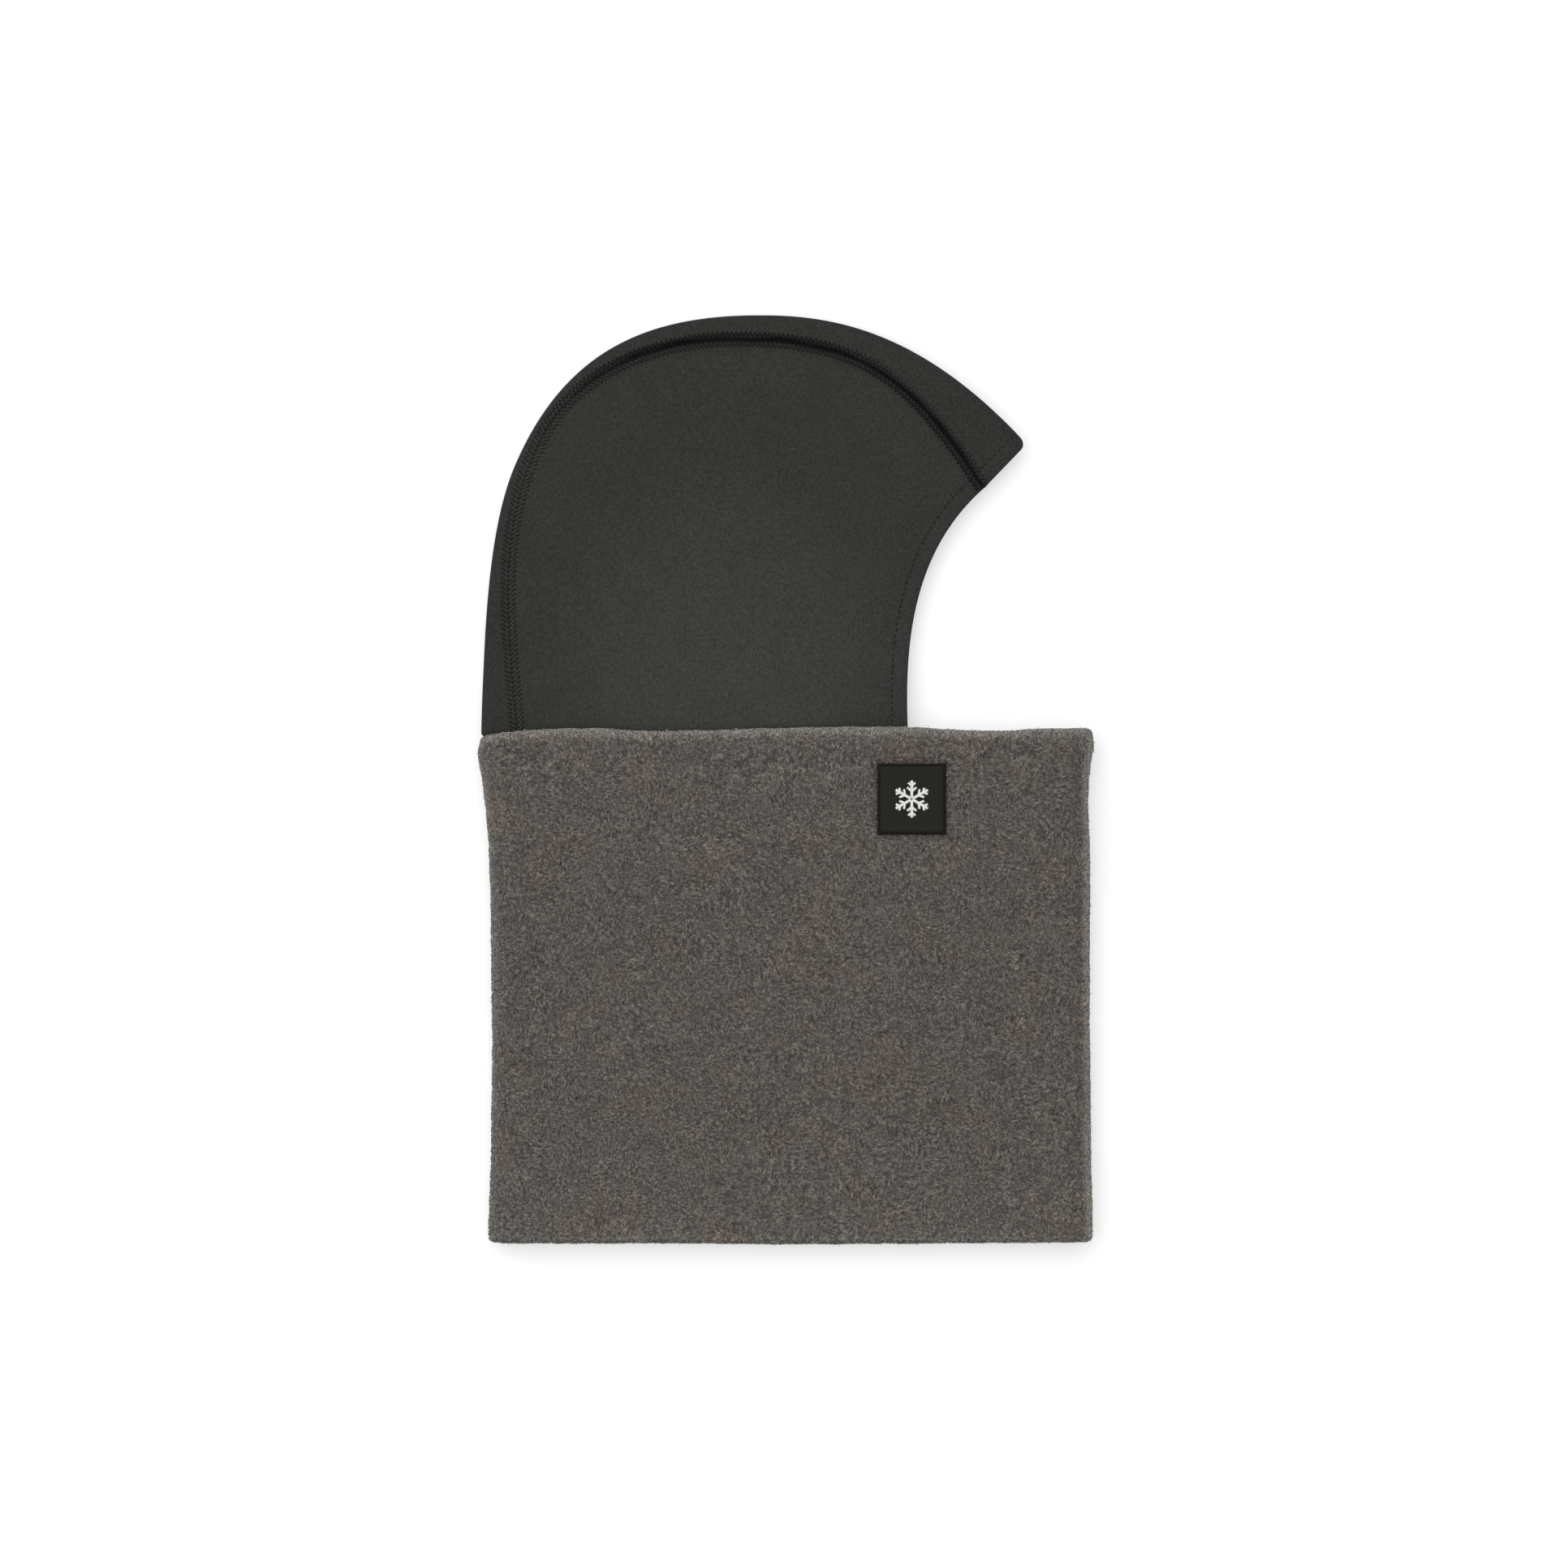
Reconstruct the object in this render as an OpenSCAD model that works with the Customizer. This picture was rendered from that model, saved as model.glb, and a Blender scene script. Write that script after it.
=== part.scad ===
// Balaclava with a stretch-jersey hood sewn into a double-layer fleece collar.
// It lies flat on its left side: +X is where the face looks, +Y is up the head, and +Z is off the table.
// The origin is the middle of the footprint, on the table.

/* [Collar] */
// Width of the collar laid flat, side fold to side fold
collar_w = 262; // [240:1:290]
// Height of the collar, bottom edge to turned top edge
collar_h = 221; // [180:1:260]
// Thickness of the flattened collar
collar_t = 20; // [19:0.5:28]
// Thickness of one layer of fleece
fleece_t = 2.2; // [1.8:0.1:2.4]
// Room between the two layers of fleece, where the seam threads lie
layer_gap = 0.6; // [0.5:0.1:0.8]

/* [Hood] */
// Reach of the hood, back of the neck to tip of the brim
hood_reach = 233; // [215:1:240]
// Rise of the hood above the collar
hood_rise = 179; // [165:1:195]
// Thickness of the flattened hood, over its raised seams
hood_t = 10; // [9:0.5:13]
// Thickness of the jersey
jersey_t = 0.9; // [0.7:0.1:1.1]
// Depth of the hood's sewn-in end inside the collar
skirt_depth = 30; // [20:1:45]
// Highest of a raised seam above the jersey
seam_rise = 0.6; // [0.3:0.1:0.6]
// Width of a flatlock seam
seam_w = 6; // [4:0.5:8]
// Width of the turned hem round the face
hem_w = 8; // [6:0.5:10]

/* [Label] */
// Width of the woven label
label_w = 29.5; // [20:0.5:40]
// Height of the woven label
label_h = 30.5; // [20:0.5:40]
// Thickness of the woven label
label_t = 0.8; // [0.4:0.1:0.8]
// Distance from the collar's front fold to the middle of the label
label_from_front = 77; // [40:1:110]
// Distance from the collar's top edge to the middle of the label
label_from_top = 29.8; // [22:0.1:80]

/* [Hidden] */
$fn = 48;

fleece_colour = [0.35, 0.33, 0.31];
lining_colour = [0.31, 0.29, 0.28];
jersey_colour = [0.23, 0.23, 0.22];
thread_colour = [0.10, 0.10, 0.10];
label_colour = [0.13, 0.13, 0.12];
emblem_colour = [0.88, 0.88, 0.86];

// Collar levels. One side of the collar is two layers of fleece and the room between them.
collar_side = 2 * fleece_t + layer_gap;
collar_top = (hood_rise + collar_h) / 2 - hood_rise;
collar_bottom = collar_top - collar_h;
collar_left = -collar_w / 2;
cavity_r = collar_t / 2 - collar_side;
roll_r = collar_side / 2;

// Hood levels on the table, and where the hood comes out of the collar's mouth.
skirt_gap = 1;
mouth_low = collar_side + skirt_gap;
mouth_high = collar_t - collar_side - skirt_gap;
rest_low = seam_rise;
rest_high = hood_t - seam_rise;
parting = 0.5;
hood_start = collar_top + parting;
fall_length = 32;

// How far a row of thread stands up, the points in one curve, and how far a cutting solid runs past what it cuts.
thread_rise = 0.2;
steps = 14;
past = 6;

// The hood's outlines, in mm from the corner where its back fold meets the collar, for the nominal reach and rise.
nominal_reach = 233;
nominal_rise = 179;
back_fold = [[0, 0], [1.5, 43], [0.5, 83], [16, 118.5]];
crown_fold = [[16, 118.5], [36, 161.5], [71, 179], [117, 179]];
brow_fold = [[117, 179], [161, 179], [205, 158.5], [233, 123]];
seam_back = [[15, 0], [11, 40], [5, 84.5], [23.5, 122.5]];
seam_crown = [[23.5, 122.5], [39, 157], [78, 170], [114, 169]];
seam_brow = [[114, 169], [169, 168], [188, 149], [217.5, 105]];
face_curve = [[217.5, 105], [186, 77.5], [182, 39], [183.5, 0]];
brim_tip = [233, 123];
brim_foot = [217.5, 105];

function on_hood(p) = [
    collar_left + p[0] * hood_reach / nominal_reach,
    collar_top + p[1] * hood_rise / nominal_rise
];
function bezier_point(b, t) =
    pow(1 - t, 3) * b[0] + 3 * t * pow(1 - t, 2) * b[1] + 3 * t * t * (1 - t) * b[2] + pow(t, 3) * b[3];
function bezier(b, first = 0) = [for (i = [first:steps]) on_hood(bezier_point(b, i / steps))];
function reversed(list) = [for (i = [len(list) - 1:-1:0]) list[i]];
function unit(v) = v / norm(v);

// A point's direction along a curve, and the curve moved sideways to its right.
function along(curve, i) = unit(curve[min(i + 1, len(curve) - 1)] - curve[max(i - 1, 0)]);
function moved_right(curve, d) = [
    for (i = [0:len(curve) - 1]) curve[i] + d * [along(curve, i)[1], -along(curve, i)[0]]
];

fold_line = concat(bezier(back_fold), bezier(crown_fold, 1), bezier(brow_fold, 1));
seam_line = concat(bezier(seam_back), bezier(seam_crown, 1), bezier(seam_brow, 1));
face_line = bezier(face_curve);
brim_line = [on_hood(brim_tip), on_hood(brim_foot)];

// Height of the hood's lower and upper face at a place up the head: they fall from the mouth to the table.
function share(y) = min(max((y - hood_start) / fall_length, 0), 1);
function fall(y) = 1 - pow(share(y), 2) * (3 - 2 * share(y));
function low_at(y) = rest_low + (mouth_low - rest_low) * fall(y);
function high_at(y) = rest_high + (mouth_high - rest_high) * fall(y);
function mid_at(y) = (low_at(y) + high_at(y)) / 2;
profile_ys = concat(
    [hood_start - past],
    [for (i = [0:12]) hood_start + fall_length * i / 12],
    [collar_top + hood_rise + past]
);

// A solid right across the hood between two heights above the table.
module between(bottom_line, top_line)
    translate([collar_left - past, 0, 0])
        rotate([90, 0, 90])
            linear_extrude(hood_reach + 2 * past)
                polygon(concat(bottom_line, reversed(top_line)));

function low_line(d) = [for (y = profile_ys) [y, low_at(y) + d]];
function high_line(d) = [for (y = profile_ys) [y, high_at(y) + d]];
function mid_line() = [for (y = profile_ys) [y, mid_at(y)]];

// The right side of the garment lies uppermost, the left side on the table.
module upper_band(from, to) between(high_line(from), high_line(to));
module lower_band(from, to) between(low_line(from), low_line(to));

module post(outline) translate([0, 0, -past]) linear_extrude(collar_t + 2 * past) polygon(outline);

function side_outline() = concat(seam_line, [for (i = [1:len(face_line) - 1]) face_line[i]]);
function centre_outline() = concat(fold_line, reversed(seam_line));

// The parts of the hood start just above the collar's mouth.
module above_mouth()
    translate([collar_left - past, hood_start, -past])
        cube([hood_reach + 2 * past, hood_rise + past, collar_t + 2 * past]);

// The whole hood as a closed form, smaller by d at its fold and at both faces, and open where it is cut open.
module hood_form(d) {
    open = d > 0 ? past : 0;
    fold = moved_right(fold_line, d);
    front = concat([brim_line[0] + [open, d], brim_line[1] + [open, -open]], moved_right(face_line, -open));
    intersection() {
        post(concat([fold[0] - [0, open]], fold, front, [last(front) - [0, open]]));
        between(low_line(d), high_line(-d));
    }
}

function last(list) = list[len(list) - 1];

// One layer of cloth, the first or second from the outside.
module cloth_layer(outer, inner) {
    intersection() {
        difference() {
            hood_form(outer);
            hood_form(inner);
        }
        above_mouth();
    }
}

// A strip of the given width beside a line, on its right for a positive width.
module strip_right(line, width, start = 0)
    post(concat(moved_right(line, start), reversed(moved_right(line, start + width))));

// Stitches of a given length and gap in a row beside a line.
module stitch_posts(line, inset, length, width, pitch) {
    row = moved_right(line, inset);
    for (i = [0:len(row) - 2]) {
        run = row[i + 1] - row[i];
        count = max(1, floor(norm(run) / pitch));
        for (k = [0:count - 1])
            translate(concat(row[i] + run * (k + 0.5) / count, [-past]))
                rotate([0, 0, atan2(run[1], run[0])])
                    translate([-length / 2, -width / 2, 0])
                        cube([length, width, collar_t + 2 * past]);
    }
}

// A flattened tube's wall between two radii at its side folds.
module flat_tube(outer_r, inner_r, bottom, top) {
    side = collar_w / 2 - collar_t / 2;
    translate([0, top, collar_t / 2])
        rotate([90, 0, 0])
            linear_extrude(top - bottom)
                difference() {
                    flat_ring(side, outer_r);
                    flat_ring(side, inner_r);
                }
}

module flat_ring(side, r)
    union() {
        square([2 * side, 2 * r], center = true);
        translate([-side, 0]) circle(r);
        translate([side, 0]) circle(r);
    }

// The turned edge of the collar: half a round bead that runs all round the flattened tube, on its +Y side.
module turned_edge() {
    side = collar_w / 2 - collar_t / 2;
    middle_r = collar_t / 2 - roll_r;
    translate([0, 0, collar_t / 2])
        rotate([90, 0, 0]) {
            for (face = [-1, 1])
                translate([-side, face * middle_r, 0])
                    rotate([90, 0, 90])
                        linear_extrude(2 * side) half_disc(roll_r);
            for (end = [-1, 1])
                translate([end * side, 0, 0])
                    rotate([0, 0, -90 * end])
                        rotate_extrude(angle = 180) translate([middle_r, 0]) half_disc(roll_r);
        }
}

// The half of a disc below the X axis.
module half_disc(r)
    intersection() {
        circle(r);
        translate([-r, -r]) square([2 * r, r]);
    }

module fleece_outer_layer()
    color(fleece_colour)
        union() {
            flat_tube(collar_t / 2, collar_t / 2 - fleece_t, collar_bottom + roll_r, collar_top - roll_r);
            translate([0, collar_top - roll_r, 0]) turned_edge();
            translate([0, collar_bottom + roll_r, 0]) mirror([0, 1, 0]) turned_edge();
        }

module fleece_lining_layer()
    color(lining_colour)
        flat_tube(cavity_r + fleece_t, cavity_r, collar_bottom + roll_r, collar_top - roll_r);

// Lock stitches that close the collar's tube, along its back fold between the two layers.
module collar_back_seam_thread() {
    seam_room = 0.15;
    stitch = 3.2;
    pitch = 4.2;
    thread = 0.6;
    lower = collar_bottom + roll_r + 2;
    upper = collar_top - roll_r - 2;
    x = collar_left + fleece_t + seam_room;
    color(thread_colour)
        for (y = [lower:pitch:upper - stitch])
            translate([x, y, (collar_t - thread) / 2])
                cube([layer_gap - 2 * seam_room, stitch, thread]);
}

// Lock stitches that join the two layers all along the bottom edge, on both sides of the collar.
module collar_bottom_seam_thread() {
    stitch = 3.2;
    pitch = 4.4;
    reach = collar_w / 2 - collar_t / 2 - stitch;
    room = 0.15;
    color(thread_colour)
        for (level = [fleece_t, collar_t - fleece_t - layer_gap], x = [-reach:pitch:reach])
            translate([x, collar_bottom + roll_r + 3, level + room])
                cube([stitch, 0.6, layer_gap - 2 * room]);
}

label_x = collar_w / 2 - label_from_front;
label_y = collar_top - label_from_top;

module on_label(z) translate([label_x, label_y, collar_t + z]) children();

module label_patch()
    color(label_colour)
        on_label(0)
            translate([-label_w / 2, -label_h / 2, 0])
                cube([label_w, label_h, label_t]);

module label_stitching() {
    inset = 1.4;
    stitch = 1.9;
    pitch = 2.6;
    thick = 0.45;
    half_w = label_w / 2 - inset;
    half_h = label_h / 2 - inset;
    color(thread_colour)
        on_label(label_t) {
            for (side = [-1, 1], i = [0:floor(2 * half_w / pitch) - 1])
                translate([-half_w + (i + 0.3) * pitch, side * half_h - thick / 2, 0])
                    cube([stitch, thick, thread_rise]);
            for (side = [-1, 1], i = [0:floor(2 * half_h / pitch) - 1])
                translate([side * half_w - thick / 2, -half_h + (i + 0.3) * pitch, 0])
                    cube([thick, stitch, thread_rise]);
        }
}

// A plain six-armed snowflake, woven into the middle of the label.
module label_emblem() {
    flake_r = 8;
    arm_w = 1.1;
    twig = [[0.42, 2.6], [0.72, 2]];
    color(emblem_colour)
        on_label(label_t)
            union()
                for (turn = [0:60:300])
                    rotate([0, 0, turn]) {
                        translate([-arm_w / 2, 0, 0]) cube([arm_w, flake_r, thread_rise]);
                        for (way = [-1, 1], pair = twig)
                            translate([0, flake_r * pair[0], 0])
                                rotate([0, 0, way * 50])
                                    translate([-arm_w * 0.4, 0, 0])
                                        cube([arm_w * 0.8, pair[1], thread_rise]);
                    }
}

// A satin label sewn into the neck seam, lying on the lining inside the collar.
module care_label() {
    w = 24;
    h = 34;
    thin = 0.5;
    color(emblem_colour)
        translate([collar_left + 40, collar_top - skirt_depth - h, collar_side + 0.1])
            cube([w, h, thin]);
}

// The hood's lower end, flattened inside the collar and open at the front.
module hood_neck_skirt()
    color(jersey_colour)
        skirt_wall(cavity_r - skirt_gap, cavity_r - skirt_gap - jersey_t, collar_top - skirt_depth, collar_top);

// The row of overlock that fixes the skirt to the collar's lining, all round.
module neck_join_seam()
    color(thread_colour)
        skirt_wall(cavity_r, cavity_r - skirt_gap, collar_top - skirt_depth, collar_top - skirt_depth + 5);

// A flattened wall round the back of the collar's cavity that ends below the face opening.
module skirt_wall(outer_r, inner_r, bottom, top) {
    opening_x = last(face_line)[0];
    intersection() {
        flat_tube(outer_r, inner_r, bottom, top);
        translate([collar_left, bottom, 0])
            cube([opening_x - collar_left, top - bottom, collar_t]);
    }
}

// Each side panel stops at the middle of its flatlock seam.
module right_side_panel()
    color(jersey_colour)
        intersection() {
            post(side_outline());
            upper_band(-jersey_t, 0);
            above_mouth();
        }

module left_side_panel()
    color(jersey_colour)
        intersection() {
            post(side_outline());
            lower_band(0, jersey_t);
            above_mouth();
        }

// The strip that runs from the back of the neck over the crown to the brim, folded in half lengthways.
module centre_panel()
    color(jersey_colour)
        intersection() {
            cloth_layer(0, jersey_t);
            post(centre_outline());
        }

module flatlock_posts()
    strip_right([for (i = [0:len(seam_line) - 2]) seam_line[i]], seam_w, -seam_w / 2);

module hood_edge_guard(inset)
    post(concat(moved_right(fold_line, inset), moved_right(face_line, inset / 2)));

module right_flatlock_seam()
    color(thread_colour)
        intersection() {
            flatlock_posts();
            hood_edge_guard(0.3);
            upper_band(0, seam_rise);
            above_mouth();
        }

module left_flatlock_seam()
    color(thread_colour)
        intersection() {
            flatlock_posts();
            hood_edge_guard(0.3);
            lower_band(-seam_rise, 0);
            above_mouth();
        }

module right_face_hem()
    color(jersey_colour)
        intersection() {
            strip_right(face_line, hem_w);
            post(side_outline());
            upper_band(-2 * jersey_t, -jersey_t);
            above_mouth();
        }

module left_face_hem()
    color(jersey_colour)
        intersection() {
            strip_right(face_line, hem_w);
            post(side_outline());
            lower_band(jersey_t, 2 * jersey_t);
            above_mouth();
        }

// The brim's front end turned inside, round the fold as well.
module brim_hem()
    color(jersey_colour)
        intersection() {
            cloth_layer(jersey_t, 2 * jersey_t);
            post(centre_outline());
            strip_right(brim_line, hem_w);
        }

module hem_row(line)
    stitch_posts(line, hem_w - 1, 2, 0.5, 2.8);

module right_hem_stitching()
    color(thread_colour)
        intersection() {
            hem_row(face_line);
            post(side_outline());
            strip_right(face_line, hem_w);
            upper_band(0, thread_rise);
            above_mouth();
        }

module left_hem_stitching()
    color(thread_colour)
        intersection() {
            hem_row(face_line);
            post(side_outline());
            strip_right(face_line, hem_w);
            lower_band(-thread_rise, 0);
            above_mouth();
        }

module brim_hem_stitching()
    color(thread_colour)
        for (face = [0, 1])
            intersection() {
                hem_row(brim_line);
                post(centre_outline());
                if (face == 0) lower_band(-thread_rise, 0);
                else upper_band(0, thread_rise);
            }

fleece_outer_layer();
fleece_lining_layer();
collar_back_seam_thread();
collar_bottom_seam_thread();
label_patch();
label_stitching();
label_emblem();
care_label();
hood_neck_skirt();
neck_join_seam();
right_side_panel();
left_side_panel();
centre_panel();
right_flatlock_seam();
left_flatlock_seam();
right_face_hem();
left_face_hem();
brim_hem();
right_hem_stitching();
left_hem_stitching();
brim_hem_stitching();
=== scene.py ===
"""The balaclava's visual model: fleece collar, jersey hood, seams, stitches, labels, studio and camera."""

import math

import bmesh
import bpy
import numpy as np
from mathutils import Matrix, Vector
from mathutils.geometry import delaunay_2d_cdt


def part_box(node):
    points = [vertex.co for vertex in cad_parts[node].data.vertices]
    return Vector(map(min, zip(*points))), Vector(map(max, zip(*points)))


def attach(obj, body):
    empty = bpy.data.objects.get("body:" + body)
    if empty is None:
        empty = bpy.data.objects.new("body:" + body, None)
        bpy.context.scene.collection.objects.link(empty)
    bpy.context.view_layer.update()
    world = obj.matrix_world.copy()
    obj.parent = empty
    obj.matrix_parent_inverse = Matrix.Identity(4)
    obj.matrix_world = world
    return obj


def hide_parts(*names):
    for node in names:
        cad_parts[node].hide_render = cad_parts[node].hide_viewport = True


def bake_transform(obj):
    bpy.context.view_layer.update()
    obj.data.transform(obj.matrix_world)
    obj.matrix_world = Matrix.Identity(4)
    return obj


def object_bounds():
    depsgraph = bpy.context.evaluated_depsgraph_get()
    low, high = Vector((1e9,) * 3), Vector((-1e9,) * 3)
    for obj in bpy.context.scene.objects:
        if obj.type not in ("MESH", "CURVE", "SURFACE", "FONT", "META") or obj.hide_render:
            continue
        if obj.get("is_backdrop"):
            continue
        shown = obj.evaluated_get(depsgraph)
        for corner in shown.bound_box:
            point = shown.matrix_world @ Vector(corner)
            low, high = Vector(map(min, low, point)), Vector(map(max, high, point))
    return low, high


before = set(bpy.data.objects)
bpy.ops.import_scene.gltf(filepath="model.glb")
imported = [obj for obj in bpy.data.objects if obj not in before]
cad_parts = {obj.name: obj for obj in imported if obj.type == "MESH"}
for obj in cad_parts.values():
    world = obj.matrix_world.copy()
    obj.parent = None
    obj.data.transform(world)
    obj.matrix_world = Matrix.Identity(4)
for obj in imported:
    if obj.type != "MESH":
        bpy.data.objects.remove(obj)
CAD_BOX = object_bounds()
MM = 0.001

# ------ places from the frame, in mm


def node_box(name):
    low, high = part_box(name)
    return np.array(low) / MM, np.array(high) / MM


COLLAR_LOW, COLLAR_HIGH = node_box("fleece_outer_layer")
SKIRT_LOW, SKIRT_HIGH = node_box("hood_neck_skirt")
JOIN_LOW, JOIN_HIGH = node_box("neck_join_seam")
LABEL_LOW, LABEL_HIGH = node_box("label_patch")
LABEL_MID, LABEL_SIZE = (LABEL_LOW + LABEL_HIGH) / 2, LABEL_HIGH - LABEL_LOW
EMBLEM_LOW, EMBLEM_HIGH = node_box("label_emblem")
CARE_LOW, CARE_HIGH = node_box("care_label")
CENTRE_LOW, CENTRE_HIGH = node_box("centre_panel")

COLLAR_LEFT, COLLAR_BOTTOM, _ = COLLAR_LOW
COLLAR_RIGHT, COLLAR_TOP, COLLAR_T = COLLAR_HIGH
COLLAR_H = COLLAR_TOP - COLLAR_BOTTOM
WALL_T = JOIN_LOW[2]
HOOD_REACH = CENTRE_HIGH[0] - CENTRE_LOW[0]
HOOD_RISE = CENTRE_HIGH[1] - COLLAR_TOP

# ------ tools for shapes


def smooth_step(t):
    t = np.clip(t, 0, 1)
    return t * t * (3 - 2 * t)


def through(*points):
    """A smooth curve y(x) through a few points, level at each end."""
    xs, ys = (np.array(v, float) for v in zip(*points))
    slopes = np.zeros(len(xs))
    slopes[1:-1] = (ys[2:] - ys[:-2]) / (xs[2:] - xs[:-2])

    def value(x):
        x = np.clip(x, xs[0], xs[-1])
        i = np.clip(np.searchsorted(xs, x) - 1, 0, len(xs) - 2)
        h = xs[i + 1] - xs[i]
        t = (x - xs[i]) / h
        start = ys[i] * (1 + 2 * t) + h * slopes[i] * t
        end = ys[i + 1] * (3 - 2 * t) + h * slopes[i + 1] * (t - 1)
        return start * (1 - t) ** 2 + end * t**2

    return value


def hash_noise(cell, seed):
    """A repeatable number from -1 to 1 for each integer cell."""
    c = cell.astype(np.int64).astype(np.uint64)
    h = np.bitwise_xor.reduce(c * np.array((73856093, 19349663, 83492791), np.uint64), axis=-1)
    h = (h + np.uint64(seed * 7919 + 17)) * np.uint64(0x9E3779B97F4A7C15)
    h ^= h >> np.uint64(29)
    h *= np.uint64(0xBF58476D1CE4E5B9)
    h ^= h >> np.uint64(32)
    return (h & np.uint64(0xFFFFF)).astype(float) / 0x7FFFF - 1


def noise(points, size, seed=0):
    """Smooth noise from -1 to 1 at 3-D points in mm, with lumps of about the given size."""
    p = np.asarray(points, float) / size
    cell = np.floor(p)
    f = p - cell
    f = f * f * f * (f * (f * 6 - 15) + 10)
    total = 0
    for corner in np.ndindex(2, 2, 2):
        k = np.array(corner)
        total = total + np.prod(np.where(k, f, 1 - f), axis=-1) * hash_noise(cell + k, seed)
    return total


def bezier(points, count, first):
    """Points of a cubic curve in count steps, from number first."""
    t = np.linspace(0, 1, count + 1)[first:, None]
    a, b, c, d = (np.array(p, float) for p in points)
    return (1 - t) ** 3 * a + 3 * t * (1 - t) ** 2 * b + 3 * t * t * (1 - t) * c + t**3 * d


def lengths_along(line):
    return np.concatenate([[0], np.cumsum(np.linalg.norm(np.diff(line, axis=0), axis=1))])


def sample(line, at, known=None):
    """Points of a line at values of known, which is a number for each point, or else its index."""
    known = np.arange(len(line)) if known is None else known
    return np.stack([np.interp(at, known, column) for column in line.T], -1)


def resample(line, step):
    s = lengths_along(line)
    return sample(line, np.linspace(0, s[-1], max(2, int(round(s[-1] / step)) + 1)), s)


def unit(vectors):
    return vectors / np.linalg.norm(vectors, axis=-1, keepdims=True)


def right_normals(line):
    """Unit normals to the right of a flat line's direction."""
    d = unit(np.gradient(line, axis=0))
    return np.stack([d[:, 1], -d[:, 0]], -1)


def moved(line, d):
    """A line moved d mm to the right of its direction."""
    return line + right_normals(line) * d


def nearest(points, line):
    """Distance of each flat point to a line, and how far along the line its nearest point is."""
    best = np.full(len(points), 1e9)
    where = np.zeros(len(points))
    starts = lengths_along(line)
    for a, b, start in zip(line[:-1], line[1:], starts):
        d = b - a
        length = math.hypot(*d)
        t = np.clip(((points - a) @ d) / length**2, 0, 1)
        off = np.hypot(*(points - a - t[:, None] * d).T)
        closer = off < best
        best[closer] = off[closer]
        where[closer] = start + t[closer] * length
    return best, where


def inside(points, loop):
    """Which flat points are inside a closed loop."""
    found = np.zeros(len(points), bool)
    for a, b in zip(loop, np.roll(loop, -1, axis=0)):
        if a[1] == b[1]:
            continue
        crosses = (a[1] > points[:, 1]) != (b[1] > points[:, 1])
        at = a[0] + (points[:, 1] - a[1]) / (b[1] - a[1]) * (b[0] - a[0])
        found ^= crosses & (points[:, 0] < at)
    return found


# ------ tools for meshes


def linked(name, data):
    """A new object in the scene."""
    thing = bpy.data.objects.new(name, data)
    bpy.context.scene.collection.objects.link(thing)
    return thing


def mesh_object(name, points_mm, faces, material=None):
    """A smooth-shaded mesh object from points in millimetres, given as rows or as a grid."""
    mesh = bpy.data.meshes.new(name)
    faces = faces.tolist() if isinstance(faces, np.ndarray) else faces
    mesh.from_pydata((np.asarray(points_mm).reshape(-1, 3) * MM).tolist(), [], faces)
    mesh.polygons.foreach_set("use_smooth", [True] * len(mesh.polygons))
    mesh.update()
    if material:
        mesh.materials.append(material)
    return linked(name, mesh)


def add_shade(thing, values):
    """Keeps one number per point, which the material reads as its shade."""
    layer = thing.data.attributes.new("shade", "FLOAT", "POINT")
    layer.data.foreach_set("value", np.asarray(values, np.float32).ravel())


def grid_faces(rows, columns, wrap_rows=False, wrap_columns=False):
    """Quads of a grid of points stored row by row."""
    r, c = np.indices((rows if wrap_rows else rows - 1, columns if wrap_columns else columns - 1))
    r2, c2 = (r + 1) % rows, (c + 1) % columns
    quads = np.stack([r * columns + c, r * columns + c2, r2 * columns + c2, r2 * columns + c], -1)
    return quads.reshape(-1, 4)


def grid_normals(points, wrap_rows=False, wrap_columns=False):
    """Unit normals of a grid of points, rows by columns by 3."""

    def change(axis, wrap):
        if wrap:
            return np.roll(points, -1, axis) - np.roll(points, 1, axis)
        return np.gradient(points, axis=axis)

    n = np.cross(change(1, wrap_columns), change(0, wrap_rows))
    return n / np.maximum(np.linalg.norm(n, axis=-1), 1e-9)[..., None]


def thicken(thing, thickness, material):
    """Gives a surface the cloth's thickness, in mm, on its inner side, and makes it one closed mesh."""
    solid = thing.modifiers.new("cloth", "SOLIDIFY")
    solid.thickness = thickness * MM
    solid.offset = -1
    solid.use_rim = True
    graph = bpy.context.evaluated_depsgraph_get()
    mesh = bpy.data.meshes.new_from_object(thing.evaluated_get(graph))
    thing.modifiers.clear()
    thing.data = mesh
    mesh.materials.append(material)


UP = np.array((0.0, 0.0, 1.0))
# A stitch's rings: where they are, as shares of its length, and how wide, as shares of its radius.
STITCH_SIDES = 6
STITCH_STATIONS = ((0.0, 0.3), (0.12, 0.85), (0.35, 1.0), (0.65, 1.0), (0.88, 0.85), (1.0, 0.3))


def tube_faces(stations, sides):
    """Faces of a closed tube of rings."""
    last = (stations - 1) * sides
    caps = [list(range(sides))[::-1], list(range(last, last + sides))]
    return grid_faces(stations, sides, wrap_columns=True).tolist() + caps


def stitches(starts, ends, normals, radius):
    """Short rounded threads from starts to ends, as points and faces. Each is a closed mesh."""
    run = ends - starts
    along = unit(run)
    across = unit(np.cross(along, normals))
    up = np.cross(across, along)
    arch = 0.5 * radius
    rings = []
    for share, width in STITCH_STATIONS:
        centre = starts + share * run + up * arch * math.sin(math.pi * share)
        for angle in np.arange(STITCH_SIDES) * 2 * math.pi / STITCH_SIDES:
            side = across * math.cos(angle) + up * math.sin(angle)
            rings.append(centre + side * radius * width)
    tube = tube_faces(len(STITCH_STATIONS), STITCH_SIDES)
    faces = [[i + k * len(rings) for i in face] for k in range(len(starts)) for face in tube]
    return np.stack(rings, 1).reshape(-1, 3), faces


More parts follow.
